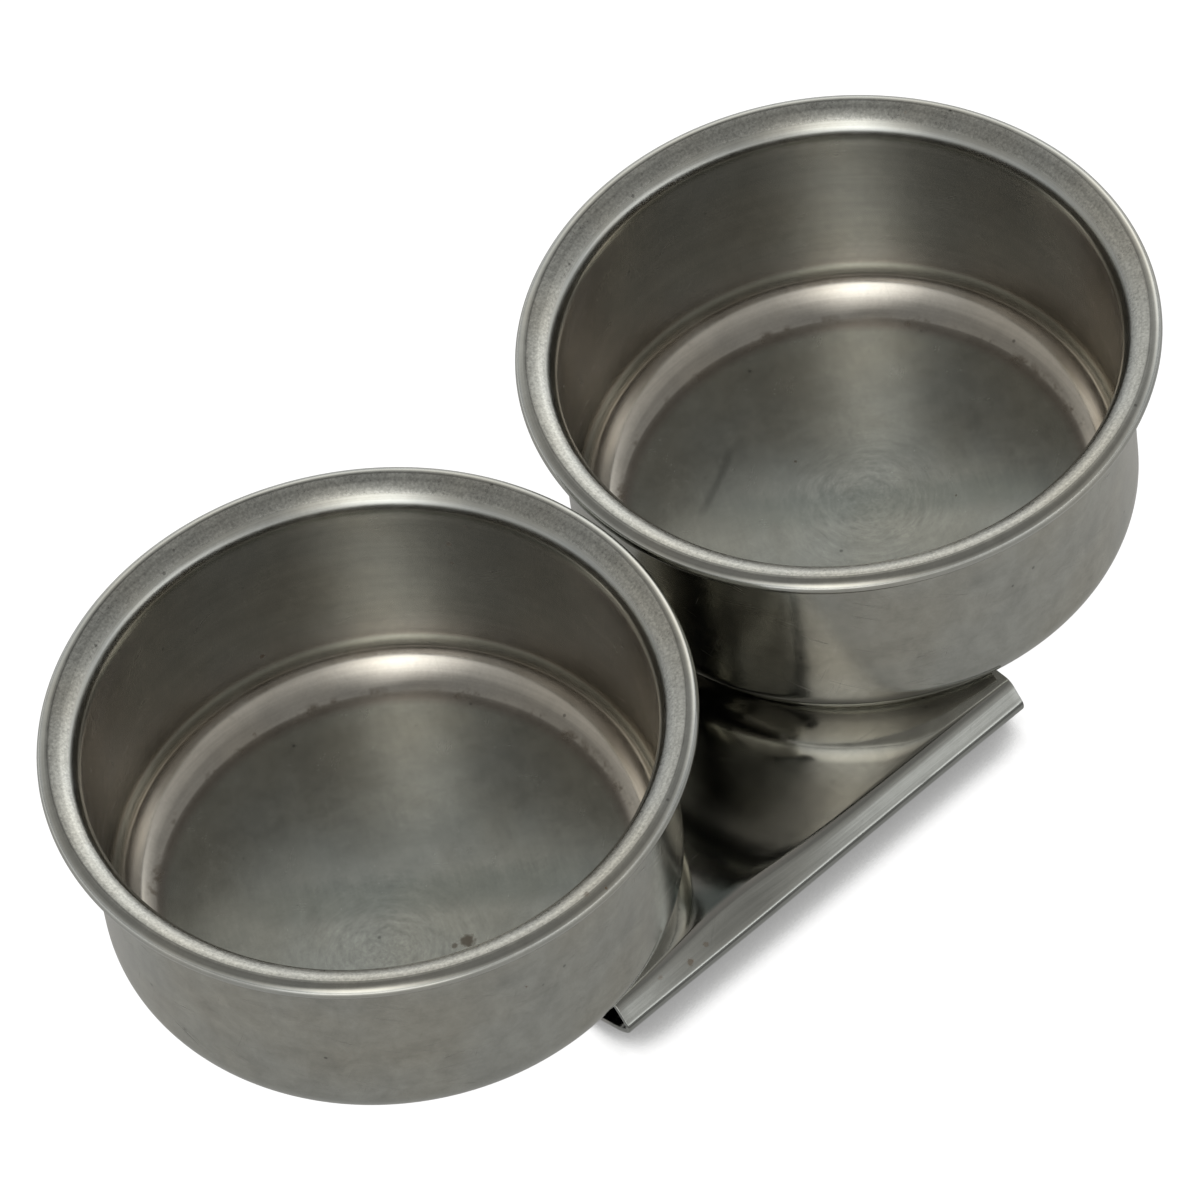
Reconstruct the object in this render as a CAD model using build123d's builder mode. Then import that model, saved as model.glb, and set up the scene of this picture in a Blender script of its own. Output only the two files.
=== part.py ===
from build123d import *
from math import cos, radians, sin, tan
import os

# A palette cup clip: two open cups of drawn sheet steel, side by side, soldered to
# a strip that is folded double and springs onto the edge of a painter's palette.
# Origin: on the surface it stands on, under the point midway between the cups.
# +X runs from the left cup to the right cup, +Z is up, the fold of the clip is at -Y
# and the palette slides in from +Y. All lengths are in millimetres.

# Cups
cup_sheet = 0.35
rim_radius = 22.5
rim_gap = 0.2
cup_height = 18.95
lip_radius = 2.2
curl_radius = 0.65
curl_turn = 130
neck_drop = 3.2
neck_draw = 0.1
base_corner_radius = 3.75

# Clip
clip_sheet = 0.4
clip_length = 38.0
clip_height = 4.75
nose_reach = 19.7
nose_height = 2.9
nose_inside_radius = 0.4
flange_angle = 46
keel_angle = 24
crease_bend_radius = 0.8
belly_width = 9.0
belly_bend_radius = 3.0
heel_bend_radius = 6.0
pinch_gap = 0.8
pinch_from_belly = 12.0
pinch_bend_radius = 3.0
lead_in_length = 4.6
plate_back_reach = 9.0
free_corner_radius = 2.5

# The lower leaf springs open about the centre of the fold
leaf_opening = 10
split_angle = 196
split_play = 2

# Joint between a cup and the clip
solder_film = 0.1
solder_edge = 0.5

# Places that follow from the cup's sizes
cup_spacing = 2 * rim_radius + rim_gap
curl_centre_radius = rim_radius - curl_radius
neck_radius = curl_centre_radius - lip_radius
wall_radius = neck_radius + neck_draw
lip_centre_height = cup_height - lip_radius
curl_centre_height = cup_height - curl_radius
shoulder_height = lip_centre_height - neck_drop
floor_radius = wall_radius + cup_sheet - base_corner_radius
cup_base_height = clip_height + solder_film

# Places that follow from the clip's sizes
half_sheet = clip_sheet / 2
nose_radius = nose_inside_radius + half_sheet
nose_y = nose_inside_radius + clip_sheet - nose_reach
plate_height = clip_height - half_sheet
pinch_height = clip_height - clip_sheet - pinch_gap - half_sheet
lower_split_angle = split_angle + leaf_opening + split_play


def round_point(centre, radius, angle):
    """The point at an angle, in degrees, on a circle."""
    return (centre[0] + radius * cos(radians(angle)), centre[1] + radius * sin(radians(angle)))


def draw_cup_sheet():
    """The middle of the cup's sheet: floor, corner, wall, shoulder, lip and curl in turn."""
    half_cup_sheet = cup_sheet / 2
    corner_middle = base_corner_radius - half_cup_sheet
    shoulder_foot = (wall_radius + half_cup_sheet, shoulder_height)
    neck = (neck_radius + half_cup_sheet, lip_centre_height)
    lip_centre = (curl_centre_radius, lip_centre_height)
    curl_centre = (curl_centre_radius, curl_centre_height)
    Line((0, half_cup_sheet), (floor_radius, half_cup_sheet))
    corner = CenterArc((floor_radius, base_corner_radius), corner_middle, 270, 90)
    wall = Line(corner @ 1, shoulder_foot)
    TangentArc(shoulder_foot, neck, tangent=wall % 1)
    CenterArc(lip_centre, lip_radius - half_cup_sheet, 180, -90)
    CenterArc(curl_centre, curl_radius - half_cup_sheet, 90, -90 - curl_turn)


os.makedirs("parts", exist_ok=True)

# The two cups, each drawn from one sheet, with the rim rolled outwards
for side, name in ((-1, "left_cup"), (1, "right_cup")):
    cup_origin = (side * cup_spacing / 2, 0, cup_base_height)
    cup_plane = Plane(origin=cup_origin, x_dir=(1, 0, 0), z_dir=(0, -1, 0))
    with BuildPart() as cup:
        with BuildSketch(cup_plane):
            with BuildLine():
                draw_cup_sheet()
            trace(line_width=cup_sheet)
        revolve(axis=Axis(cup_origin, (0, 0, 1)))
    cup.part.label = name
    export_step(cup.part, f"parts/{name}.step")

# Where the sloping runs of the folded strip leave the fold and meet the flat runs
nose_centre = (nose_y, nose_height)
flange_foot = round_point(nose_centre, nose_radius, 90 + flange_angle)
keel_head = round_point(nose_centre, nose_radius, 270 - keel_angle)
crease_y = flange_foot[0] + (plate_height - flange_foot[1]) / tan(radians(flange_angle))
belly_y = keel_head[0] + (keel_head[1] - half_sheet) / tan(radians(keel_angle))
heel_y = belly_y + belly_width
pinch_y = heel_y + pinch_from_belly
lead_in_y = pinch_y + lead_in_length

# Upper leaf of the clip: the plate under the cups, the sloping flange and most of the fold
with BuildPart() as clip_upper_leaf:
    with BuildSketch(Plane.YZ):
        with BuildLine():
            FilletPolyline(
                (plate_back_reach, plate_height),
                (crease_y, plate_height),
                flange_foot,
                radius=crease_bend_radius,
            )
            CenterArc(
                nose_centre, nose_radius, 90 + flange_angle, split_angle - 90 - flange_angle
            )
        trace(line_width=clip_sheet)
    extrude(amount=clip_length / 2, both=True)
    back_edge = clip_upper_leaf.faces().sort_by(Axis.Y)[-1]
    fillet(back_edge.edges().filter_by(Axis.Z), radius=free_corner_radius)
clip_upper_leaf.part.label = "clip_upper_leaf"
export_step(clip_upper_leaf.part, "parts/clip_upper_leaf.step")

# Lower leaf: the rest of the fold, the belly it stands on, the pinch line and the lead-in
with BuildPart() as clip_lower_leaf:
    with BuildSketch(Plane.YZ):
        with BuildLine():
            CenterArc(
                nose_centre, nose_radius, lower_split_angle, 270 - keel_angle - lower_split_angle
            )
            FilletPolyline(
                keel_head,
                (belly_y, half_sheet),
                (heel_y, half_sheet),
                (pinch_y, pinch_height),
                (lead_in_y, half_sheet),
                radius=[belly_bend_radius, heel_bend_radius, pinch_bend_radius],
            )
        trace(line_width=clip_sheet)
    extrude(amount=clip_length / 2, both=True)
    mouth_edge = clip_lower_leaf.faces().sort_by(Axis.Y)[-1]
    lead_in_slope = Vector(0, lead_in_length, half_sheet - pinch_height).normalized()
    across_sheet = Axis((0, 0, 0), lead_in_slope.cross(Vector(1, 0, 0)))
    fillet(mouth_edge.edges().filter_by(across_sheet), radius=free_corner_radius)
clip_lower_leaf.part.label = "clip_lower_leaf"
export_step(clip_lower_leaf.part, "parts/clip_lower_leaf.step")

# Solder under each cup, where its flat floor lies on the plate
for side, name in ((-1, "left_solder"), (1, "right_solder")):
    with BuildPart() as solder:
        with BuildSketch(Plane.XY.offset(clip_height)):
            with Locations((side * cup_spacing / 2, 0)):
                Circle(floor_radius - solder_edge)
            with Locations((0, (crease_y + plate_back_reach) / 2)):
                Rectangle(
                    clip_length - 2 * solder_edge,
                    plate_back_reach - crease_y - 2 * solder_edge,
                    mode=Mode.INTERSECT,
                )
        extrude(amount=solder_film)
    solder.part.label = name
    export_step(solder.part, f"parts/{name}.step")
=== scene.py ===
from math import atan2, cos, degrees, exp, hypot, pi, radians, sin, sqrt, tan
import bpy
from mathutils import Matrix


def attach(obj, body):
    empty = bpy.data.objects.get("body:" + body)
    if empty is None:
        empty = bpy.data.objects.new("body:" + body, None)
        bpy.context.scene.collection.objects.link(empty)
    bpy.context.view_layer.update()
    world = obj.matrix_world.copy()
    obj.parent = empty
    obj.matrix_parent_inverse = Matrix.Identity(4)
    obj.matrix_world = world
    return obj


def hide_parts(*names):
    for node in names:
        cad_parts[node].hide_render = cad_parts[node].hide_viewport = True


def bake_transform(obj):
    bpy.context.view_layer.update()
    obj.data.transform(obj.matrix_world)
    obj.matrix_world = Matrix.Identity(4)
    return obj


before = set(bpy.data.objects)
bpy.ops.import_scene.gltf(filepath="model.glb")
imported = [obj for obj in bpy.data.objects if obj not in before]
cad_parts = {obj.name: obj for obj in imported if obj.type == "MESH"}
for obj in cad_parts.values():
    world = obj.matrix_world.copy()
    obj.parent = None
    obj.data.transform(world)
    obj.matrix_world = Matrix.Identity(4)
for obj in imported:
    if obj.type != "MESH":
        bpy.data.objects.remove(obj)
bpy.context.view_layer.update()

from types import SimpleNamespace

import bmesh
import bpy
import numpy as np
from mathutils import Matrix, Vector

# The looks of a double palette cup: two satin steel cups on a folded spring clip.
# Shapes are worked out in millimetres and degrees, and turned to metres where a mesh is made.
# On each sheet, run is the length along it and up is 1 on one face and -1 on the other.
# A cup's run starts at the middle of its floor, and the clip's at the plate's back edge.
MM = 0.001

# Cups, as in the CAD source
cup_sheet = 0.35
rim_radius = 22.5
cup_spacing = 45.2
cup_height = 18.95
cup_base_height = 4.85
lip_radius = 2.2
curl_radius = 0.65
curl_turn = 130
neck_drop = 3.2
neck_draw = 0.1
base_corner_radius = 3.75

# Clip, as in the CAD source
clip_sheet = 0.4
clip_length = 38.0
clip_height = 4.75
nose_reach = 19.7
nose_height = 2.9
nose_inside_radius = 0.4
flange_angle = 46
keel_angle = 24
crease_bend_radius = 0.8
belly_width = 9.0
belly_bend_radius = 3.0
heel_bend_radius = 6.0
pinch_gap = 0.8
pinch_from_belly = 12.0
pinch_bend_radius = 3.0
lead_in_length = 4.6
plate_back_reach = 9.0
free_corner_radius = 2.5

# How finely the meshes are divided
cup_segments = 224
floor_step = 0.9
wall_step = 1.2
corner_step = 4.0
lip_step = 5.0
curl_step = 10.0
edge_steps = 4
clip_step = 0.75
clip_bend_step = 9.0
clip_columns = 60
clip_edge_round = 0.07

# How far the handmade cups stray from true. Pitches are in radians per millimetre
rim_stray = 0.05
rim_lobes = (2, 3, 5)
rim_lobe_shares = (0.5, 0.3, 0.2)
corner_ends_turn = 35
corner_middle_radius = 5.2
floor_stray = 0.02
floor_stray_top = 2.0
floor_waves = 6
floor_wave_pitches = (0.25, 0.8)

# How far the clip strays from true: its place, its crease and its keel
clip_stray = 0.015
clip_skew = 1.15
clip_off_centre = -0.5
clip_forward = -0.1
crease_stray = 0.54
crease_stray_at = -7.5
crease_stray_width = 5.5
crease_shift = -0.2
crease_blend = 3.0
keel_head_angle = 36
keel_run_angle = 18
keel_bend_radius = 4.0
bow_pitch_across = 0.22
bow_pitch_along = 0.31
bow_phase = 1.0

# The camera's place round the object, found from the two rims in the photograph
camera_azimuth = -37.479
camera_elevation = 50.869
camera_roll = -8.881
camera_distance = 601.70
camera_shift_right = -0.406
camera_shift_up = -4.759
camera_target_height = 23.15
camera_lens = 264.366
sensor_width = 36.0
camera_near = 0.01
camera_far = 50.0

# Level directions towards the camera and to its right. They place marks and lights, not the camera
toward_camera = (sin(radians(camera_azimuth)), -cos(radians(camera_azimuth)), 0)
beside_camera = (cos(radians(camera_azimuth)), sin(radians(camera_azimuth)), 0)

# Mean radius of a cup's wall, for the marks that run round it
wall_mean = 20.0

# Zones of a cup's sheet, as runs in millimetres
floor_fades_from = 15.75
floor_fades_to = 16.75
cove_middle = 19.25
cove_half_width = 2.0
foot_middle = 19.15
foot_half_width = 2.4
dirt_middle = 17.05
wall_dims_from = 22.0
wall_dims_to = 33.0
rim_start = 34.97
rim_full = 35.27
frosted_middle = 37.2
frosted_half_width = 0.55
# Run of a thin dark line painted round the rim, standing in for a dark reflection where the curl bends
painted_rim_line_middle = 37.93

# Zones of the clip's strip, as runs in millimetres, the run of a dark line painted on the fold, and the place
# of a dark reflection painted on the plate
fold_middle = 29.4
fold_half_width = 2.1
# Run of a thin dark line painted along the fold, standing in for a dark reflection
painted_fold_line_run = 29.05
plate_fades_from = 26.5
plate_fades_to = 27.1
painted_corner_at = (-8.2, 26.2, 1.0)
painted_corner_reach = 3.9
painted_corner_core = 2.0
painted_corner_ragged = 1.5
painted_corner_depth = 0.8

# Colours of the steel, as the share of light that it reflects, of what stains or marks it, and of the dark
# reflections painted on the cups' floors and the clip's plate
outer_steel = (0.42, 0.427, 0.395, 1)
inner_steel = (0.405, 0.39, 0.37, 1)
cove_steel = (0.545, 0.53, 0.49, 1)
floor_steel = (0.485, 0.518, 0.492, 1)
rim_steel = (0.42, 0.432, 0.412, 1)
plate_steel = (0.49, 0.48, 0.455, 1)
fold_steel = (0.37, 0.38, 0.36, 1)
rust = (0.12, 0.07, 0.028, 1)
tarnish = (0.17, 0.135, 0.095, 1)
# Painted dark reflection: the band painted across the cups' floors
painted_reflection_band = (0.17, 0.225, 0.21, 1)
# Painted dark reflection: the patch painted on the clip's plate beside the left cup
painted_corner_shade = (0.13, 0.17, 0.165, 1)
dark_line = (0.06, 0.065, 0.06, 1)
warm_cast = (1.05, 0.98, 0.88, 1)

# Shares: how far turned metal spreads light and which way, and how deep rust, dirt and warmth go
turned_spread = 0.7
quarter_turn = 0.25
rust_metal_share = 0.6
dirt_depth = 0.6
warm_depth = 0.5

# Roughness where no zone or mark changes it
cup_mean_roughness = 0.235
plate_mean_roughness = 0.09

# Depth of the fine and the broad relief, in millimetres
cup_fine_relief = 0.0009
cup_broad_relief = 0.004
clip_fine_relief = 0.0008
clip_broad_relief = 0.006
solder_relief = 0.004

# Solder: its darkest and lightest grey, and its smoothest and roughest places
solder_dark = 0.28
solder_light = 0.46
solder_smooth = 0.35
solder_rough = 0.6

# Scratches: tilt on the sheet, a shift that makes each set its own, and how few there are
wall_scratches = ((6, 3.0, 0.6), (-24, 31.0, 0.6), (68, 57.0, 0.64))
floor_scratches = ((35, 11.0, 0.56), (-48, 73.0, 0.58))
clip_scratches = ((4, 5.0, 0.56), (-38, 23.0, 0.6), (52, 41.0, 0.6))
scratch_pitches = (0.09, 2.2)
scratch_patch_pitches = (0.2, 0.7)
scratch_width = 0.02
scratch_patch_edge = 0.08

# Pits: how closely their cells lie, which cells have one, and its size in cells
pit_scale = 0.55
pit_chosen_from = 0.78
pit_chosen_to = 0.8
pit_core = 0.05
pit_reach = 0.09

# Stains: place on the cup or on the sheet, size and depth of colour
left_stains = (
    ((0.0, -7.0, 0.4), 0.6, 0.6),
    ((-0.9, -6.6, 0.4), 0.25, 0.5),
    ((5.6, 19.0, 4.8), 0.22, 0.7),
    ((17.7, 9.1, 16.2), 0.3, 0.4),
    ((16.9, 10.4, 13.8), 0.25, 0.4),
    ((16.9, 10.4, 11.7), 0.2, 0.35),
    ((3.35, -20.85, 18.7), 0.14, 0.7),
    ((0.97, -22.1, 18.8), 0.15, 0.8),
    ((-0.27, -21.6, 18.9), 0.22, 0.35),
    ((-4.9, -19.6, 11.4), 0.16, 0.6),
    ((2.4, 17.0, 0.7), 0.3, 0.5),
    ((-1.6, 16.8, 0.6), 0.25, 0.5),
)
right_stains = (
    ((17.8, 10.8, 18.9), 0.22, 0.45),
    ((17.0, 0.5, 0.8), 0.22, 0.6),
    ((-0.2, 6.0, 0.4), 0.14, 0.5),
    ((5.1, -4.8, 0.4), 0.12, 0.5),
)
clip_stains = (
    ((-12.6, 28.3, -1.0), 0.25, 0.6),
    ((-10.9, 28.1, -1.0), 0.2, 0.5),
    ((-15.1, 27.7, -1.0), 0.2, 0.4),
)

# The worn swirl on each cup's floor: its middle, and where it fades
left_swirl = (-4.2, -3.6, 0.0)
right_swirl = (0.8, -0.5, 0.0)
swirl_core = 1.5
swirl_reach = 9.5

# A dark band painted across each cup's floor as a painted reflection: how far behind the floor's middle it
# lies, and its form
left_painted_band_back = -0.8
right_painted_band_back = -0.1
band_slope = 0.06
band_ragged = 1.6
band_half_width = 0.5
band_edge = 1.9
band_aside = 2.0
band_half_length = 8.0
band_end_edge = 6.0
painted_band_depth = 0.28

# The dark line on the right cup's floor: its middle, tilt, half length and strength
right_line = ((-5.2, 8.9), 25, 3.8, 0.34)

# Paper floor. Distances are in millimetres, but the floor's own reach is in metres
floor_reach = 5.0
floor_below = 0.02
floor_glow = 0.18
floor_glow_far = 0.6
floor_glow_window = 1.7
glow_starts = 62
glow_full = 200
window_side_starts = 0.86
window_side_full = 0.99
paper_white = 0.55
paper_for_camera = 0.2
fringe_reach = 4.0
fringe_dark = 0.28
fringe_starts = 0.45
fringe_ends = 0.8
fringe_samples = 8

# Surroundings: brightness low down and overhead, and the elevations where the one turns into the other
sky_low = 0.60
sky_high = 0.34
sky_low_end = 8.0
sky_high_start = 48.0
sky_tint = (1.03, 1.0, 0.95, 1)
tint_starts = 4.0
tint_full = 30.0
white = (1, 1, 1, 1)

# Windows and cards round the object: azimuth from the camera's side, elevation, half sizes, strength
windows = (
    (-14, 26, 16, 28, 1.85),
    (182, 52, 16, 6, -0.18),
    (140, 20, 26, 12, 1.4),
    (182, 32, 26, 16, 0.75),
    (58, 5, 26, 6, 1.5),
)
window_fall = -0.7
window_top = 48.0
window_top_edge = 3.0
above_window_share = 0.75
gap_low = 0.4
gap_high = 3.0
gap_edge = 0.5
gap_level = 0.25

rng = np.random.default_rng(7)


# Meshes

class SheetPath:
    """Walks along the middle of a sheet and notes each point, its heading and the length so far."""

    def __init__(self, start, heading):
        self.at = np.array(start, float)
        self.heading = heading
        self.run = 0.0
        self.samples = [(self.at.copy(), heading, 0.0)]
        self.marks = {}

    def line(self, length, step):
        along = np.array([cos(radians(self.heading)), sin(radians(self.heading))])
        start, start_run = self.at.copy(), self.run
        count = max(1, round(length / step))
        for k in range(1, count + 1):
            self.at = start + along * length * k / count
            self.run = start_run + length * k / count
            self.samples.append((self.at.copy(), self.heading, self.run))

    def bend(self, radius, turn, step):
        side = 1 if turn > 0 else -1
        start_heading, start_run = self.heading, self.run
        normal = radians(start_heading + 90 * side)
        centre = self.at + radius * np.array([cos(normal), sin(normal)])
        count = max(2, round(abs(turn) / step))
        for k in range(1, count + 1):
            self.heading = start_heading + turn * k / count
            outward = radians(self.heading - 90 * side)
            self.at = centre + radius * np.array([cos(outward), sin(outward)])
            self.run = start_run + radius * radians(abs(turn)) * k / count
            self.samples.append((self.at.copy(), self.heading, self.run))

    def fold(self, turn):
        """A crease: the last point gets the mean heading, and the next run starts on the new one."""
        point, heading, run = self.samples[-1]
        self.samples[-1] = (point, heading + turn / 2, run)
        self.heading += turn

    def arrays(self):
        points = np.array([s[0] for s in self.samples])
        headings = np.radians([s[1] for s in self.samples])
        normals = np.column_stack([-np.sin(headings), np.cos(headings)])
        return points, normals, np.array([s[2] for s in self.samples])


def make_piece(name, points, faces, values):
    """A smooth-shaded object from points in millimetres, with one number per point for each value."""
    mesh = bpy.data.meshes.new(name)
    mesh.from_pydata((np.asarray(points) * MM).tolist(), [], faces)
    for key, numbers in values.items():
        layer = mesh.attributes.new(key, "FLOAT", "POINT")
        layer.data.foreach_set("value", np.asarray(numbers, np.float32))
    work = bmesh.new()
    work.from_mesh(mesh)
    bmesh.ops.recalc_face_normals(work, faces=work.faces)
    work.to_mesh(mesh)
    work.free()
    mesh.polygons.foreach_set("use_smooth", [True] * len(mesh.polygons))
    mesh.update()
    piece = bpy.data.objects.new(name, mesh)
    bpy.context.scene.collection.objects.link(piece)
    return piece


def cup_path():
    """The middle of the cup's sheet, from the axis to the end of the curl: radius and height."""
    half = cup_sheet / 2
    corner = base_corner_radius - half
    neck_radius = rim_radius - curl_radius - lip_radius
    floor_radius = neck_radius + neck_draw + cup_sheet - base_corner_radius
    shoulder_height = cup_height - lip_radius - neck_drop
    shoulder_turn = 2 * degrees(atan2(neck_draw, neck_drop))
    shoulder_radius = (neck_draw**2 + neck_drop**2) / (2 * neck_draw)

    # The corner is flatter in its middle, and its two ends are tighter to make up for that
    ends_turn = radians(corner_ends_turn)
    middle = corner_middle_radius * (cos(ends_turn) - sin(ends_turn))
    corner_ends_radius = (corner - middle) / (sin(ends_turn) + 1 - cos(ends_turn))

    path = SheetPath((0, half), 0)
    path.line(floor_radius, floor_step)
    path.bend(corner_ends_radius, corner_ends_turn, corner_step)
    path.bend(corner_middle_radius, 90 - 2 * corner_ends_turn, corner_step / 2)
    path.bend(corner_ends_radius, corner_ends_turn, corner_step)
    path.line(shoulder_height - base_corner_radius, wall_step)
    path.bend(shoulder_radius, shoulder_turn, shoulder_turn / 4)
    path.fold(-shoulder_turn)
    path.bend(lip_radius - half, -90, lip_step)
    path.bend(curl_radius - half, -90 - curl_turn, curl_step)
    return path


def cup_outline():
    """The cup's outline, from the axis over the top and back underneath: points, runs and sides."""
    points, normals, runs = cup_path().arrays()
    half = cup_sheet / 2
    end, end_normal = points[-1], normals[-1]
    ahead = np.array([end_normal[1], -end_normal[0]])
    turns = np.linspace(0, pi, 2 * edge_steps + 1)[1:-1]
    cap = [end + half * (cos(t) * end_normal + sin(t) * ahead) for t in turns]
    top = points + half * normals
    under = (points - half * normals)[::-1]
    run = np.concatenate([runs, [runs[-1]] * len(cap), runs[::-1]])
    up = np.concatenate([np.ones(len(top)), [cos(t) for t in turns], -np.ones(len(under))])
    return np.vstack([top, cap, under]), run, up


def revolved_faces(rings):
    """The faces between the rings of a cup, and the fans to the two poles that follow the last ring."""
    faces = []
    for k in range(rings - 1):
        a, b = k * cup_segments, (k + 1) * cup_segments
        for i in range(cup_segments):
            j = (i + 1) % cup_segments
            faces.append((a + i, a + j, b + j, b + i))
    last, top_pole = (rings - 1) * cup_segments, rings * cup_segments
    for i in range(cup_segments):
        j = (i + 1) % cup_segments
        faces.append((top_pole, j, i))
        faces.append((top_pole + 1, last + i, last + j))
    return faces


def make_cup(name, side):
    """A cup revolved round its own axis, a little out of true, closed all round."""
    outline, run, up = cup_outline()
    angle = np.arange(cup_segments) * 2 * pi / cup_segments
    out_of_round = np.zeros(cup_segments)
    for share, lobe in zip(rim_lobe_shares, rim_lobes):
        out_of_round += share * np.cos(lobe * angle + rng.uniform(0, 2 * pi))
    out_of_round -= out_of_round.max()
    waves = [
        (rng.uniform(*floor_wave_pitches), rng.uniform(0, 2 * pi), rng.uniform(0, 2 * pi))
        for _ in range(floor_waves)
    ]

    rings = []
    for radius, height in outline[1:-1]:
        r = radius + rim_stray * min(1.0, height / cup_height) * out_of_round
        x, y = r * np.cos(angle), r * np.sin(angle)
        swell = np.zeros(cup_segments)
        for pitch, turn, phase in waves:
            swell += np.cos(pitch * (x * cos(turn) + y * sin(turn)) + phase) / floor_waves
        z = height + floor_stray * max(0.0, 1 - height / floor_stray_top) * swell
        rings.append(np.column_stack([x, y, np.maximum(z, 0.0)]))
    poles = [[0, 0, outline[0][1]], [0, 0, outline[-1][1]]]
    values = {
        "run": np.append(np.repeat(run[1:-1], cup_segments), [0.0, 0.0]),
        "up": np.append(np.repeat(up[1:-1], cup_segments), [1.0, -1.0]),
    }
    cup = make_piece(name, np.vstack(rings + [poles]), revolved_faces(len(rings)), values)
    cup.location = (side * cup_spacing / 2 * MM, 0, cup_base_height * MM)
    return cup


def round_point(centre, radius, angle):
    """The point at an angle, in degrees, on a circle."""
    return (centre[0] + radius * cos(radians(angle)), centre[1] + radius * sin(radians(angle)))


def bend_reach(radius, turn):
    """How far a bend reaches from the corner that it rounds."""
    return radius * tan(radians(turn) / 2)


def clip_path():
    """The middle of the folded strip, from the plate's back edge to the lead-in's end: y and height."""
    half = clip_sheet / 2
    nose_radius = nose_inside_radius + half
    nose = (nose_inside_radius + clip_sheet - nose_reach, nose_height)
    plate_z = clip_height - half
    foot = round_point(nose, nose_radius, 90 + flange_angle)
    crease_y = foot[0] + (plate_z - foot[1]) / tan(radians(flange_angle))

    # The keel leaves the fold more steeply than in the CAD and then bends to a flatter run
    head = round_point(nose, nose_radius, 270 - keel_head_angle)
    steep, flat = radians(keel_head_angle), radians(keel_run_angle)
    run_y = head[0] + keel_bend_radius * (sin(steep) - sin(flat))
    run_z = head[1] - keel_bend_radius * (cos(flat) - cos(steep))
    belly_y = run_y + (run_z - half) / tan(flat)
    cad_head = round_point(nose, nose_radius, 270 - keel_angle)
    heel_y = cad_head[0] + (cad_head[1] - half) / tan(radians(keel_angle)) + belly_width
    pinch_rise = clip_height - 2 * clip_sheet - pinch_gap
    rise = degrees(atan2(pinch_rise, pinch_from_belly))
    fall = degrees(atan2(pinch_rise, lead_in_length))

    crease = bend_reach(crease_bend_radius, flange_angle)
    belly = bend_reach(belly_bend_radius, keel_run_angle)
    heel = bend_reach(heel_bend_radius, rise)
    pinch = bend_reach(pinch_bend_radius, rise + fall)

    path = SheetPath((plate_back_reach, plate_z), 180)
    path.line(clip_edge_round, clip_edge_round / edge_steps)
    path.line(plate_back_reach - crease_y - crease - clip_edge_round, clip_step)
    path.bend(crease_bend_radius, flange_angle, clip_bend_step)
    path.marks["crease"] = path.run
    path.line(hypot(foot[0] - crease_y, foot[1] - plate_z) - crease, clip_step / 2)
    path.marks["foot"] = path.run
    path.bend(nose_radius, 180 - flange_angle - keel_head_angle, clip_bend_step)
    path.bend(keel_bend_radius, keel_head_angle - keel_run_angle, clip_bend_step / 2)
    path.line(hypot(run_y - belly_y, run_z - half) - belly, clip_step)
    path.bend(belly_bend_radius, keel_run_angle, clip_bend_step)
    path.line(heel_y - belly_y - belly - heel, clip_step)
    path.bend(heel_bend_radius, rise, clip_bend_step / 3)
    path.line(hypot(pinch_from_belly, pinch_rise) - heel - pinch, clip_step)
    path.bend(pinch_bend_radius, -rise - fall, clip_bend_step)
    path.line(hypot(lead_in_length, pinch_rise) - pinch - clip_edge_round, clip_step / 2)
    path.line(clip_edge_round, clip_edge_round / edge_steps)
    return path


def drawn_back(radius, from_end):
    """How far a round of this radius draws the edge back, this far from the end."""
    if from_end >= radius:
        return 0.0
    return radius - sqrt(radius**2 - (radius - from_end) ** 2)


def clip_section(from_end):
    """Half of the outline across the strip: its upper face and one rounded edge, as x and height."""
    width = clip_length / 2 - drawn_back(free_corner_radius, from_end)
    thick = clip_sheet / 2 - drawn_back(clip_edge_round, from_end)
    edge, ledge = width - clip_edge_round, thick - clip_edge_round
    turns = np.linspace(0, pi / 2, edge_steps + 1)
    section = [(x, thick) for x in np.linspace(-edge, edge, clip_columns + 1)]
    for t in turns[1:]:
        section.append((edge + clip_edge_round * sin(t), ledge + clip_edge_round * cos(t)))
    for t in turns[:-1]:
        section.append((edge + clip_edge_round * cos(t), -ledge - clip_edge_round * sin(t)))
    return section


def strip_faces(sections, size):
    """The faces round the strip, and the two flat ends as quads from face to face."""
    faces = []
    for k in range(sections - 1):
        a, b = k * size, (k + 1) * size
        for i in range(size):
            j = (i + 1) % size
            faces.append((a + i, a + j, b + j, b + i))
    other = size // 2
    for first in (0, (sections - 1) * size):
        for i in range(clip_columns):
            over = other + clip_columns - i
            faces.append(tuple(first + n for n in (i, i + 1, over - 1, over)))
        faces.append(tuple(first + n for n in range(clip_columns, other + 1)))
        faces.append(tuple(first + n % size for n in range(other + clip_columns, size + 1)))
    return faces


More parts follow.
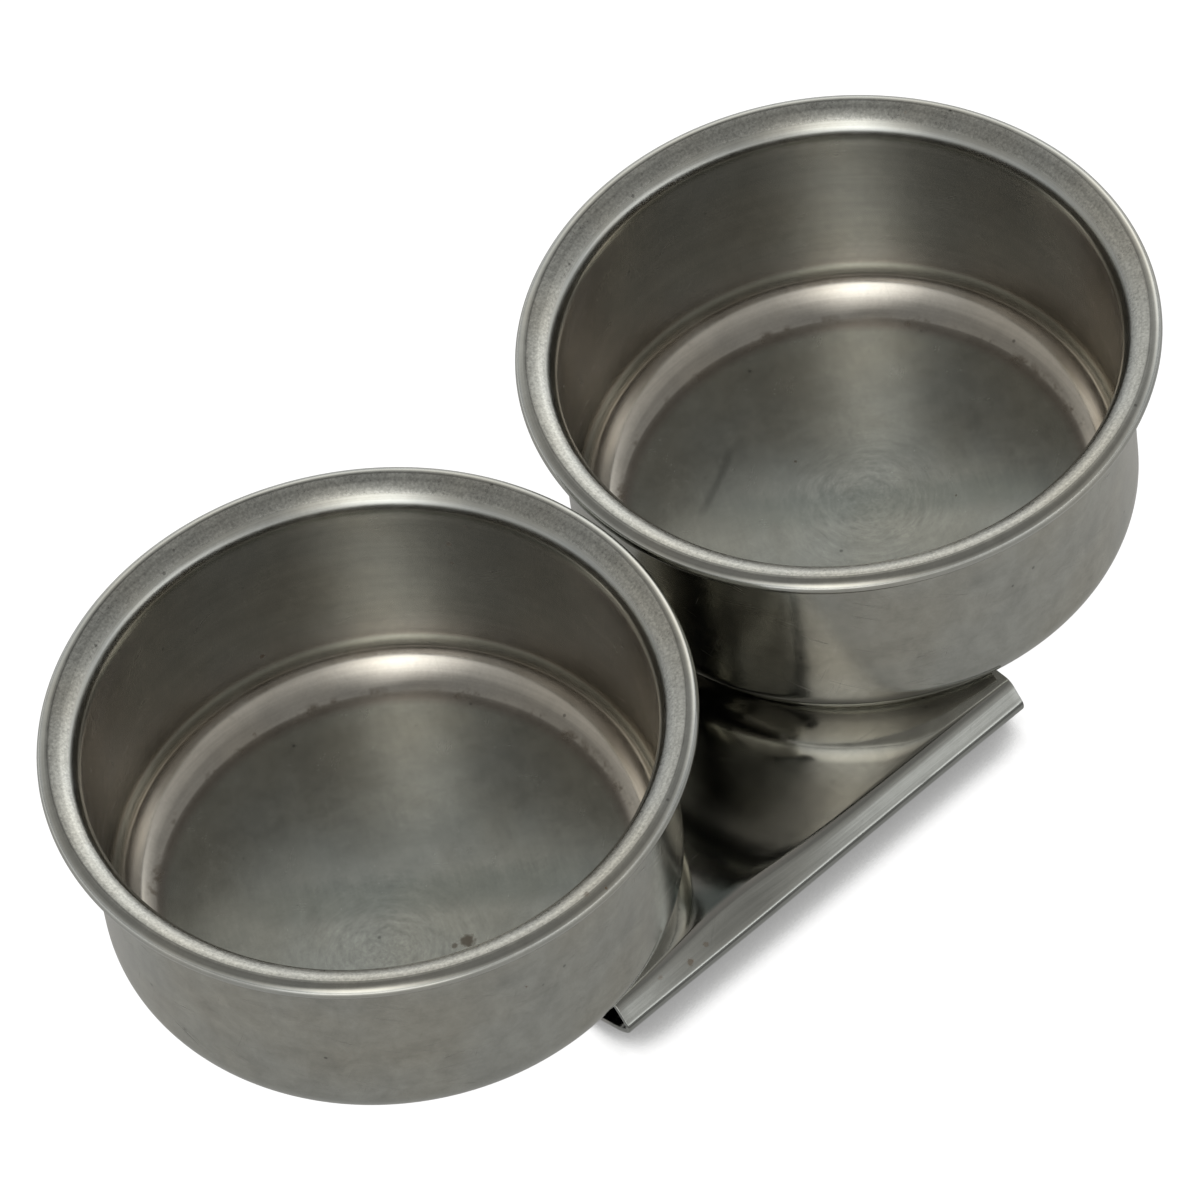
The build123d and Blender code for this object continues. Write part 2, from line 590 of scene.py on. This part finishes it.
def make_clip(name):
    """The folded strip as one closed sheet, its sheared edges just rounded and its free corners cut round."""
    path = clip_path()
    points, normals, runs = path.arrays()
    crease_run, foot_run = path.marks["crease"], path.marks["foot"]
    places = []
    values = {"run": [], "up": [], "across": []}
    for point, normal, run in zip(points, normals, runs):
        section = clip_section(min(run, runs[-1] - run))
        carried = np.interp(run, (crease_run - crease_blend, crease_run, foot_run), (0.0, 1.0, 0.0))
        for x, h in section + [(-x, -h) for x, h in section]:
            bow = clip_stray * cos(x * bow_pitch_across + bow_phase) * cos(run * bow_pitch_along)
            y, z = point + normal * (h + bow)
            off_line = (x - crease_stray_at) / crease_stray_width
            y += carried * (crease_shift + crease_stray * exp(-off_line * off_line))
            places.append((x, y, max(z, 0.0)))
            values["run"].append(run)
            values["up"].append(h / (clip_sheet / 2))
            values["across"].append(x)
    clip = make_piece(name, places, strip_faces(len(points), 2 * len(section)), values)
    pivot = Vector((0, -nose_reach * MM, 0))
    shift = Vector((clip_off_centre * MM, clip_forward * MM, 0))
    turn = Matrix.Rotation(-radians(clip_skew), 4, "Z")
    clip.data.transform(Matrix.Translation(pivot + shift) @ turn @ Matrix.Translation(-pivot))
    return clip


# Node trees

class Graph:
    """Builds one node tree. Each call adds a node and gives back the socket that it makes."""

    def __init__(self, tree):
        self.tree = tree
        tree.nodes.clear()

    def node(self, kind, inputs=(), **settings):
        made = self.tree.nodes.new("ShaderNode" + kind)
        for key, value in settings.items():
            setattr(made, key, value)
        for key, value in dict(inputs).items():
            if isinstance(value, bpy.types.NodeSocket):
                self.tree.links.new(value, made.inputs[key])
            else:
                made.inputs[key].default_value = value
        return made

    def math(self, operation, *values):
        return self.node("Math", enumerate(values), operation=operation).outputs[0]

    def add(self, *values):
        total = values[0]
        for value in values[1:]:
            total = self.math("ADD", total, value)
        return total

    def times(self, *values):
        total = values[0]
        for value in values[1:]:
            total = self.math("MULTIPLY", total, value)
        return total

    def most(self, *values):
        total = values[0]
        for value in values[1:]:
            total = self.math("MAXIMUM", total, value)
        return total

    def rest(self, share):
        """What a share leaves of 1."""
        return self.math("SUBTRACT", 1.0, share)

    def wobble(self, noise, reach):
        """A noise value turned into a number around zero, up to about half the reach each way."""
        return self.times(self.math("SUBTRACT", noise, 0.5), reach)

    def total(self, base, swings, lifts):
        """A base value, plus patterns that swing it in their zones, plus shares that lift or lower it."""
        for pattern, reach, *zones in swings:
            base = self.add(base, self.times(self.wobble(pattern, reach), *zones))
        for share, lift in lifts:
            base = self.add(base, self.times(share, lift))
        return base

    def vector(self, operation, *values):
        made = self.node("VectorMath", enumerate(values), operation=operation)
        single = operation in ("LENGTH", "DISTANCE", "DOT_PRODUCT")
        return made.outputs["Value" if single else "Vector"]

    def split(self, vector):
        return self.node("SeparateXYZ", {0: vector}).outputs

    def join(self, x, y, z=0.0):
        return self.node("CombineXYZ", {0: x, 1: y, 2: z}).outputs[0]

    def place(self):
        """The place on the object, in millimetres."""
        return self.vector("MULTIPLY", self.node("TexCoord").outputs["Object"], (1 / MM,) * 3)

    def value(self, name):
        return self.node("Attribute", attribute_name=name).outputs["Fac"]

    def step(self, value, start, end, first=0.0, last=1.0):
        """Goes smoothly from first to last as the value goes from start to end."""
        inputs = {"Value": value, "From Min": start, "From Max": end, "To Min": first, "To Max": last}
        return self.node("MapRange", inputs, interpolation_type="SMOOTHSTEP").outputs[0]

    def band(self, value, middle, half_width, edge):
        """1 within half_width of the middle, falling to 0 over the edge."""
        away = self.math("ABSOLUTE", self.math("SUBTRACT", value, middle))
        return self.step(away, half_width, half_width + edge, 1.0, 0.0)

    def noise(self, vector, scale=1.0, detail=2.0, roughness=0.5, distortion=0.0):
        inputs = {"Vector": vector, "Scale": scale, "Detail": detail, "Roughness": roughness,
                  "Distortion": distortion}
        return self.node("TexNoise", inputs).outputs[0]

    def mix(self, share, first, last):
        return self.node("Mix", {0: share, 6: first, 7: last}, data_type="RGBA").outputs[2]

    def tinted(self, colour, tint):
        """One colour times another."""
        inputs = {0: 1.0, 6: colour, 7: tint}
        return self.node("Mix", inputs, data_type="RGBA", blend_type="MULTIPLY").outputs[2]

    def bump(self, height, depth, normal=None):
        inputs = {"Height": height, "Strength": 1.0, "Distance": depth * MM}
        if normal is not None:
            inputs["Normal"] = normal
        return self.node("Bump", inputs).outputs[0]


def grey(level):
    return (level, level, level, 1.0)


# Marks that several materials share

def scratches(graph, u, v, sets):
    """Thin straight lines a few millimetres long, each set of them near one direction."""
    shares = []
    for tilt, shift, fewness in sets:
        c, s = cos(radians(tilt)), sin(radians(tilt))
        along = graph.add(graph.times(u, c), graph.times(v, s), shift)
        across = graph.add(graph.times(u, -s), graph.times(v, c), shift)
        line_at = [graph.times(*pair) for pair in zip((along, across), scratch_pitches)]
        line = graph.band(graph.noise(graph.join(*line_at), detail=0.0), 0.5, 0.0, scratch_width)
        patch_at = [graph.times(*pair) for pair in zip((along, across), scratch_patch_pitches)]
        patch = graph.noise(graph.join(*patch_at, shift), detail=1.0)
        shares.append(graph.times(line, graph.step(patch, fewness, fewness + scratch_patch_edge)))
    return graph.most(*shares)


def spots(graph, at, stains):
    """Small stains of ragged outline."""
    ragged = graph.wobble(graph.noise(at, scale=2.6, detail=3.0, roughness=0.6), 1.0)
    total = 0.0
    for place, size, depth in stains:
        away = graph.add(graph.vector("DISTANCE", at, place), graph.times(ragged, 1.6 * size))
        total = graph.most(total, graph.step(away, size * 1.15, size * 0.55, 0.0, depth))
    return total


def soft_line(graph, x, y, ragged, middle, tilt, half_length, strength):
    """A soft dark line on a cup's floor."""
    c, s = cos(radians(tilt)), sin(radians(tilt))
    from_x, from_y = graph.add(x, -middle[0]), graph.add(y, -middle[1])
    along = graph.add(graph.times(from_x, c), graph.times(from_y, s))
    across = graph.add(graph.times(from_x, -s), graph.times(from_y, c), graph.wobble(ragged, 0.8))
    ends = graph.band(along, 0.0, half_length / 2, half_length / 2)
    return graph.times(graph.band(across, 0.0, 0.05, 0.45), ends, strength)


# Materials

def new_material(name):
    material = bpy.data.materials.new(name)
    material.use_nodes = True
    return material, Graph(material.node_tree)


def finish_metal(graph, colour, roughness, normal, metallic=1.0, turned=False):
    """The metal shader and the tree's output. Turned metal spreads light across its rings."""
    inputs = {"Base Color": colour, "Metallic": metallic, "Roughness": roughness, "Normal": normal}
    if turned:
        inputs["Tangent"] = graph.node("Tangent", direction_type="RADIAL", axis="Z").outputs[0]
        inputs["Anisotropic"] = turned_spread
        inputs["Anisotropic Rotation"] = quarter_turn
    shader = graph.node("BsdfPrincipled", inputs)
    graph.node("OutputMaterial", {"Surface": shader.outputs[0]})


def cup_places(graph):
    """Coordinates on a cup: its place, the direction from its axis, and the run and side on the sheet."""
    at = graph.place()
    x, y, _ = graph.split(at)
    flat = graph.join(x, y)
    return SimpleNamespace(
        at=at, x=x, y=y, flat=flat, way=graph.vector("NORMALIZE", flat),
        run=graph.value("run"), up=graph.value("up"),
    )


def cup_patterns(graph, cup, swirl):
    """The noises that give a cup its turned, brushed and mottled look."""
    x_way, y_way, _ = graph.split(cup.way)

    def rings(around, along, detail, roughness=0.5):
        """Turned lines: around sets their detail round the axis, along that up the sheet."""
        sx, sy = graph.times(x_way, wall_mean * around), graph.times(y_way, wall_mean * around)
        line = graph.join(sx, sy, graph.times(cup.run, along))
        return graph.noise(line, detail=detail, roughness=roughness)

    from_swirl = graph.vector("SUBTRACT", cup.flat, swirl)
    swirl_radius = graph.vector("LENGTH", from_swirl)
    sx, sy, _ = graph.split(graph.vector("NORMALIZE", from_swirl))
    arc = graph.join(graph.times(sx, 2.8), graph.times(sy, 2.8), graph.times(swirl_radius, 2.6))
    slant = graph.times(graph.add(cup.x, graph.times(cup.y, -0.6)), 2.2)
    stroke = graph.join(slant, graph.times(graph.add(cup.x, cup.y), 0.16))
    return SimpleNamespace(
        rings=rings(0.03, 3.2, 3.0, 0.65),
        broad_rings=rings(0.02, 0.7, 2.0),
        radial=rings(4.5, 0.8, 2.0, 0.6),
        grain=graph.noise(cup.at, scale=5.0, detail=2.0, roughness=0.7),
        mottle=graph.noise(cup.at, scale=0.45, detail=6.0, roughness=0.66, distortion=0.3),
        cloud=graph.noise(cup.at, scale=0.09, detail=3.0),
        waves=graph.noise(cup.at, scale=0.35),
        patches=graph.noise(cup.at, scale=0.5, detail=5.0, roughness=0.7),
        arcs=graph.noise(arc, detail=4.0, roughness=0.72),
        brush=graph.noise(stroke, detail=4.0, roughness=0.7),
        swirl_radius=swirl_radius,
    )


def cup_zones(graph, cup, pattern):
    """Where on the cup each kind of surface is, as shares."""
    inside = graph.step(cup.up, -0.2, 0.2)
    rim = graph.step(cup.run, rim_start, rim_full)
    floor = graph.times(inside, graph.step(cup.run, floor_fades_to, floor_fades_from))
    outside = graph.times(graph.rest(inside), graph.rest(rim))
    wall = graph.times(inside, graph.rest(floor), graph.rest(rim))
    ragged_run = graph.add(cup.run, graph.wobble(pattern.mottle, 0.12))
    dirt = graph.times(inside, graph.band(cup.run, dirt_middle, 0.15, 0.6))
    return SimpleNamespace(
        inside=inside, rim=rim, floor=floor, outside=outside, wall=wall,
        upper_wall=graph.times(wall, graph.step(cup.run, wall_dims_from, wall_dims_to)),
        cove=graph.times(inside, graph.band(cup.run, cove_middle, cove_half_width, 1.0)),
        foot=graph.times(outside, graph.band(cup.run, foot_middle, foot_half_width, 1.5)),
        frosted=graph.band(cup.run, frosted_middle, frosted_half_width, 0.25),
        # A thin dark line painted round the rim, a painted reflection
        painted_rim_line=graph.band(ragged_run, painted_rim_line_middle, 0.02, 0.05),
        swirl=graph.times(floor, graph.step(pattern.swirl_radius, swirl_reach, swirl_core)),
        dirt=graph.times(dirt, graph.step(pattern.patches, 0.5, 0.68)),
    )


def cup_marks(graph, cup, zone, stains):
    """Scratches, pits and rust stains, as shares."""
    # Coordinates on the sheet, with the seam on the side away from the camera's place
    ahead = graph.vector("DOT_PRODUCT", cup.way, toward_camera)
    aside = graph.vector("DOT_PRODUCT", cup.way, beside_camera)
    around = graph.times(graph.math("ARCTAN2", aside, ahead), wall_mean)
    on_wall = scratches(graph, around, cup.run, wall_scratches)
    on_floor = scratches(graph, cup.x, cup.y, floor_scratches)
    lines = graph.add(
        graph.times(on_wall, zone.outside, 1.3),
        graph.times(on_wall, zone.wall, 0.3),
        graph.times(on_floor, zone.floor, 0.25),
    )
    cells = graph.node("TexVoronoi", {"Vector": cup.at, "Scale": pit_scale})
    chosen = graph.step(graph.split(cells.outputs["Color"])[0], pit_chosen_from, pit_chosen_to)
    pits = graph.times(graph.step(cells.outputs["Distance"], pit_reach, pit_core), chosen)
    return SimpleNamespace(lines=lines, pits=pits, rust=spots(graph, cup.at, stains))


def cup_colour(graph, cup, pattern, zone, mark, painted_band_back, line):
    """The steel's colour, lighter and darker with the patterns, then dirt, a painted dark reflection band,
    the floor's dark line and rust.
    """
    level = graph.total(
        1.0,
        (
            (pattern.mottle, 0.42),
            (pattern.rings, 0.10),
            (pattern.grain, 0.14),
            (pattern.arcs, 1.1, zone.swirl),
            (pattern.brush, 0.2, zone.floor),
            (pattern.radial, 0.2, zone.frosted),
            (pattern.grain, 1.3, zone.frosted),
            (pattern.rings, 0.75, zone.rim),
            (pattern.rings, 0.22, zone.wall),
            (pattern.mottle, 0.35, zone.outside),
            (pattern.mottle, 0.15, zone.floor),
        ),
        (
            (zone.swirl, 0.1),
            (zone.frosted, 0.12),
            # The painted dark rim line
            (zone.painted_rim_line, -0.35),
            (zone.upper_wall, -0.14),
            (mark.lines, -0.16),
            (mark.pits, -0.45),
        ),
    )
    base = graph.mix(zone.inside, outer_steel, inner_steel)
    base = graph.mix(zone.cove, base, cove_steel)
    base = graph.mix(zone.floor, base, floor_steel)
    base = graph.mix(zone.rim, base, rim_steel)
    warm_share = graph.step(pattern.cloud, 0.35, 0.7, 0.0, warm_depth)
    base = graph.mix(warm_share, base, graph.tinted(base, warm_cast))
    shade = graph.tinted(base, graph.join(level, level, level))
    shade = graph.mix(graph.times(zone.dirt, dirt_depth), shade, tarnish)

    # A dark reflection painted as a band across the floor, nearly level as seen from the camera
    along = graph.vector("DOT_PRODUCT", cup.at, beside_camera)
    back = graph.times(graph.vector("DOT_PRODUCT", cup.at, toward_camera), -1.0)
    ragged = graph.add(graph.wobble(pattern.mottle, band_ragged), graph.wobble(pattern.brush, band_ragged))
    across = graph.add(back, ragged, graph.times(along, band_slope))
    middle = graph.band(across, painted_band_back, band_half_width, band_edge)
    ends = graph.band(along, band_aside, band_half_length, band_end_edge)
    shade = graph.mix(graph.times(zone.floor, middle, ends, painted_band_depth), shade, painted_reflection_band)
    if line:
        line_share = soft_line(graph, cup.x, cup.y, pattern.mottle, *line)
        shade = graph.mix(graph.times(zone.floor, line_share), shade, dark_line)
    return graph.mix(mark.rust, shade, rust)


def cup_roughness(graph, pattern, zone, mark):
    """Smoother outside, in the cove and on the rim, rougher where it is frosted or marked."""
    return graph.total(
        cup_mean_roughness,
        (
            (pattern.mottle, 0.12),
            (pattern.grain, 0.06),
            (pattern.broad_rings, 0.05),
            (pattern.radial, 0.08, zone.frosted),
        ),
        (
            (zone.outside, -0.05),
            (zone.cove, -0.12),
            (zone.foot, -0.085),
            (zone.rim, -0.085),
            (zone.frosted, 0.15),
            (mark.lines, 0.12),
            (mark.rust, 0.35),
            (zone.dirt, 0.15),
        ),
    )


def cup_normal(graph, pattern, zone):
    """Fine relief from the rings, the grain and the swirl, on broad waves in the sheet."""
    relief = graph.add(
        graph.times(pattern.rings, 0.5),
        graph.times(pattern.grain, graph.add(0.25, graph.times(zone.frosted, 1.2))),
        graph.times(zone.frosted, pattern.radial, 0.25),
        graph.times(zone.swirl, pattern.arcs, 1.4),
    )
    fine = graph.bump(relief, cup_fine_relief)
    waves = graph.add(pattern.broad_rings, graph.times(pattern.waves, 0.6))
    return graph.bump(waves, cup_broad_relief, fine)


def cup_steel(name, swirl, stains, painted_band_back, line=None):
    """Satin sheet steel, turned: fine rings, worn floor with a painted dark reflection band, frosted rim with
    a painted dark line, small scratches and specks.
    """
    material, graph = new_material(name)
    cup = cup_places(graph)
    pattern = cup_patterns(graph, cup, swirl)
    zone = cup_zones(graph, cup, pattern)
    mark = cup_marks(graph, cup, zone, stains)
    colour = cup_colour(graph, cup, pattern, zone, mark, painted_band_back, line)
    roughness = cup_roughness(graph, pattern, zone, mark)
    normal = cup_normal(graph, pattern, zone)
    metallic = graph.rest(graph.times(mark.rust, rust_metal_share))
    finish_metal(graph, colour, roughness, normal, metallic, turned=True)
    return material


def clip_sheet_steel(name, stains):
    """Smooth rolled strip, nearly a mirror on the plate, duller and scuffed along the fold, with a painted
    dark reflection on the plate and a painted dark line on the fold.
    """
    material, graph = new_material(name)
    run, up, across = graph.value("run"), graph.value("up"), graph.value("across")
    sheet = graph.join(across, run, up)
    fold = graph.band(run, fold_middle, fold_half_width, 0.4)
    lengthways_lines = graph.join(graph.times(across, 0.12), graph.times(run, 5.0), up)
    crossways_lines = graph.join(graph.times(across, 3.2), graph.times(run, 0.5), up)
    lengthways = graph.noise(lengthways_lines, detail=3.0, roughness=0.65)
    crossways = graph.noise(crossways_lines, detail=3.0, roughness=0.65)
    grain = graph.noise(sheet, scale=6.0, detail=2.0, roughness=0.7)
    mottle = graph.noise(sheet, scale=0.45, detail=5.0, roughness=0.6)
    lines = scratches(graph, across, run, clip_scratches)
    # A thin dark line painted along the fold, where it reflects a dim gap above the horizon
    painted_fold_line = graph.band(graph.add(run, graph.wobble(mottle, 0.05)), painted_fold_line_run, 0.05, 0.06)
    rust_share = spots(graph, sheet, stains)

    level = graph.total(
        1.0,
        ((mottle, 0.2), (lengthways, 0.12), (grain, 0.1), (lengthways, 0.3, fold)),
        ((lines, -0.14), (painted_fold_line, -0.45)),
    )
    base = graph.mix(fold, plate_steel, fold_steel)
    shade = graph.tinted(base, graph.join(level, level, level))
    # A dark patch painted on the plate beside the left cup, standing in for a dark reflection
    ragged = graph.wobble(mottle, painted_corner_ragged)
    from_corner = graph.add(graph.vector("DISTANCE", sheet, painted_corner_at), ragged)
    painted_corner = graph.step(from_corner, painted_corner_reach, painted_corner_core, 0.0, painted_corner_depth)
    painted_corner = graph.times(painted_corner, graph.step(run, plate_fades_to, plate_fades_from))
    shade = graph.mix(painted_corner, shade, painted_corner_shade)
    shade = graph.mix(rust_share, shade, rust)

    roughness = graph.total(
        plate_mean_roughness,
        ((mottle, 0.07), (grain, 0.03)),
        ((fold, 0.07), (lines, 0.1), (rust_share, 0.35)),
    )
    relief = graph.add(
        graph.times(lengthways, 0.4), graph.times(crossways, 0.25), graph.times(grain, 0.3)
    )
    fine = graph.bump(relief, clip_fine_relief)
    normal = graph.bump(graph.noise(sheet, scale=0.45), clip_broad_relief, fine)
    finish_metal(graph, shade, roughness, normal, graph.rest(graph.times(rust_share, rust_metal_share)))
    return material


def solder_metal(name):
    """Dull grey solder, slightly lumpy."""
    material, graph = new_material(name)
    at = graph.place()
    lumps = graph.noise(at, scale=0.9, detail=4.0, roughness=0.6)
    grain = graph.noise(at, scale=9.0)
    share = graph.add(lumps, graph.wobble(grain, 0.4))
    shade = graph.mix(share, grey(solder_dark), grey(solder_light))
    roughness = graph.step(lumps, 0.3, 0.7, solder_smooth, solder_rough)
    relief = graph.add(graph.times(lumps, 4.0), grain)
    finish_metal(graph, shade, roughness, graph.bump(relief, solder_relief))
    return material


# Floor and light

def lay_floor():
    """A large sheet of paper, white to the camera with a soft shadow close round what stands on it.

    The metal sees it dim near the object and bright further off, brightest on the window's side.
    """
    mesh = bpy.data.meshes.new("floor")
    h = floor_reach
    mesh.from_pydata([(-h, -h, 0), (h, -h, 0), (h, h, 0), (-h, h, 0)], [], [(0, 1, 2, 3)])
    floor = bpy.data.objects.new("floor", mesh)
    bpy.context.scene.collection.objects.link(floor)
    floor.location.z = -floor_below * MM
    material, graph = new_material("floor_paper")
    path = graph.node("LightPath").outputs
    camera = path["Is Camera Ray"]
    sharp = graph.most(path["Is Glossy Ray"], path["Is Transmission Ray"])
    closeness = {"Distance": fringe_reach * MM}
    near = graph.node("AmbientOcclusion", closeness, samples=fringe_samples).outputs["AO"]
    fringe = graph.step(near, fringe_starts, fringe_ends, fringe_dark, 1.0)
    place = graph.place()
    far = graph.step(graph.vector("LENGTH", place), glow_starts, glow_full)
    side = radians(camera_azimuth + windows[0][0])
    window_way = (sin(side), -cos(side), 0)
    ahead = graph.vector("DOT_PRODUCT", graph.vector("NORMALIZE", place), window_way)
    lit = graph.step(ahead, window_side_starts, window_side_full, floor_glow_far, floor_glow_window)
    reflected = graph.math("MULTIPLY_ADD", far, graph.add(lit, -floor_glow), floor_glow)
    glow = graph.add(graph.times(camera, fringe), graph.times(sharp, reflected))
    shine = graph.node("Emission", {"Color": grey(1.0), "Strength": glow})
    paper_colour = graph.mix(camera, grey(paper_white), grey(paper_for_camera))
    paper = graph.node("BsdfDiffuse", {"Color": paper_colour})
    both = graph.node("AddShader", {0: shine.outputs[0], 1: paper.outputs[0]})
    graph.node("OutputMaterial", {"Surface": both.outputs[0]})
    mesh.materials.append(material)


def light_scene():
    """A studio lit from windows: dim overhead, brighter low down, with soft bright places all round.

    One place is darker, and a thin gap above the horizon is dim. The camera sees white everywhere.
    """
    world = bpy.data.worlds.new("studio")
    bpy.context.scene.world = world
    world.use_nodes = True
    graph = Graph(world.node_tree)
    way = graph.node("TexCoord").outputs["Generated"]
    _, _, z = graph.split(way)
    elevation = graph.times(graph.math("ARCSINE", z), 180 / pi)
    ahead = graph.vector("DOT_PRODUCT", way, toward_camera)
    aside = graph.vector("DOT_PRODUCT", way, beside_camera)
    azimuth = graph.times(graph.math("ARCTAN2", aside, ahead), 180 / pi)
    level = graph.step(elevation, sky_low_end, sky_high_start, sky_low, sky_high)
    for turn, height, half_width, half_height, strength in windows:
        away = graph.math("WRAP", graph.math("SUBTRACT", azimuth, turn), 180.0, -180.0)
        across = graph.math("DIVIDE", away, half_width)
        up = graph.math("DIVIDE", graph.math("SUBTRACT", elevation, height), half_height)
        spread = graph.add(graph.times(across, across), graph.times(up, up))
        glow = graph.math("EXPONENT", graph.times(spread, window_fall))
        level = graph.add(level, graph.times(glow, strength))
    top, edge = window_top, window_top_edge
    level = graph.times(level, graph.step(elevation, top - edge, top + edge, 1.0, above_window_share))
    gap = graph.band(elevation, (gap_low + gap_high) / 2, (gap_high - gap_low) / 2, gap_edge)
    level = graph.math("MULTIPLY_ADD", graph.math("SUBTRACT", gap_level, level), gap, level)
    camera = graph.node("LightPath").outputs["Is Camera Ray"]
    level = graph.math("MULTIPLY_ADD", graph.math("SUBTRACT", 1.0, level), camera, level)
    colour = graph.mix(graph.step(elevation, tint_starts, tint_full), white, sky_tint)
    back = graph.node("Background", {"Color": colour, "Strength": level})
    graph.node("OutputWorld", {"Surface": back.outputs[0]})
    bpy.context.scene.view_settings.view_transform = "Standard"


# Camera

def aim_camera():
    """The photograph's camera: straight at a point beside the rims' middle, rolled a little."""
    a, e, r = radians(camera_azimuth), radians(camera_elevation), radians(camera_roll)
    back = Vector((sin(a) * cos(e), -cos(a) * cos(e), sin(e)))
    level = Vector((cos(a), sin(a), 0))
    upright = back.cross(level)
    right = level * cos(r) + upright * sin(r)
    up = upright * cos(r) - level * sin(r)
    place = Vector((0, 0, camera_target_height)) + right * camera_shift_right
    place += up * camera_shift_up + back * camera_distance
    data = bpy.data.cameras.new("camera")
    data.lens = camera_lens
    data.sensor_width = sensor_width
    data.clip_start = camera_near
    data.clip_end = camera_far
    camera = bpy.data.objects.new("camera", data)
    turn = Matrix((right, up, back)).transposed().to_4x4()
    camera.matrix_world = Matrix.Translation(place * MM) @ turn
    bpy.context.scene.collection.objects.link(camera)
    bpy.context.scene.camera = camera


aim_camera()
light_scene()
lay_floor()

# The cups, left and then right
left_cup = make_cup("left_cup_shell", -1)
right_cup = make_cup("right_cup_shell", 1)
left_steel = cup_steel("cup_steel_left", left_swirl, left_stains, left_painted_band_back)
right_steel = cup_steel("cup_steel_right", right_swirl, right_stains, right_painted_band_back, right_line)
left_cup.data.materials.append(left_steel)
right_cup.data.materials.append(right_steel)
for piece, node in ((left_cup, "left_cup"), (right_cup, "right_cup")):
    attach(piece, "cups")
    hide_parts(node)

# The clip is one strip, so one piece stands for both leaves and the fold between them
clip = make_clip("clip_strip")
clip.data.materials.append(clip_sheet_steel("clip_steel_sheet", clip_stains))
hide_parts("clip_upper_leaf", "clip_lower_leaf")
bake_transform(clip)

# The solder keeps its CAD shape
for node in ("left_solder", "right_solder"):
    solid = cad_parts[node]
    solid.data.materials.clear()
    solid.data.materials.append(solder_metal(node + "_metal"))
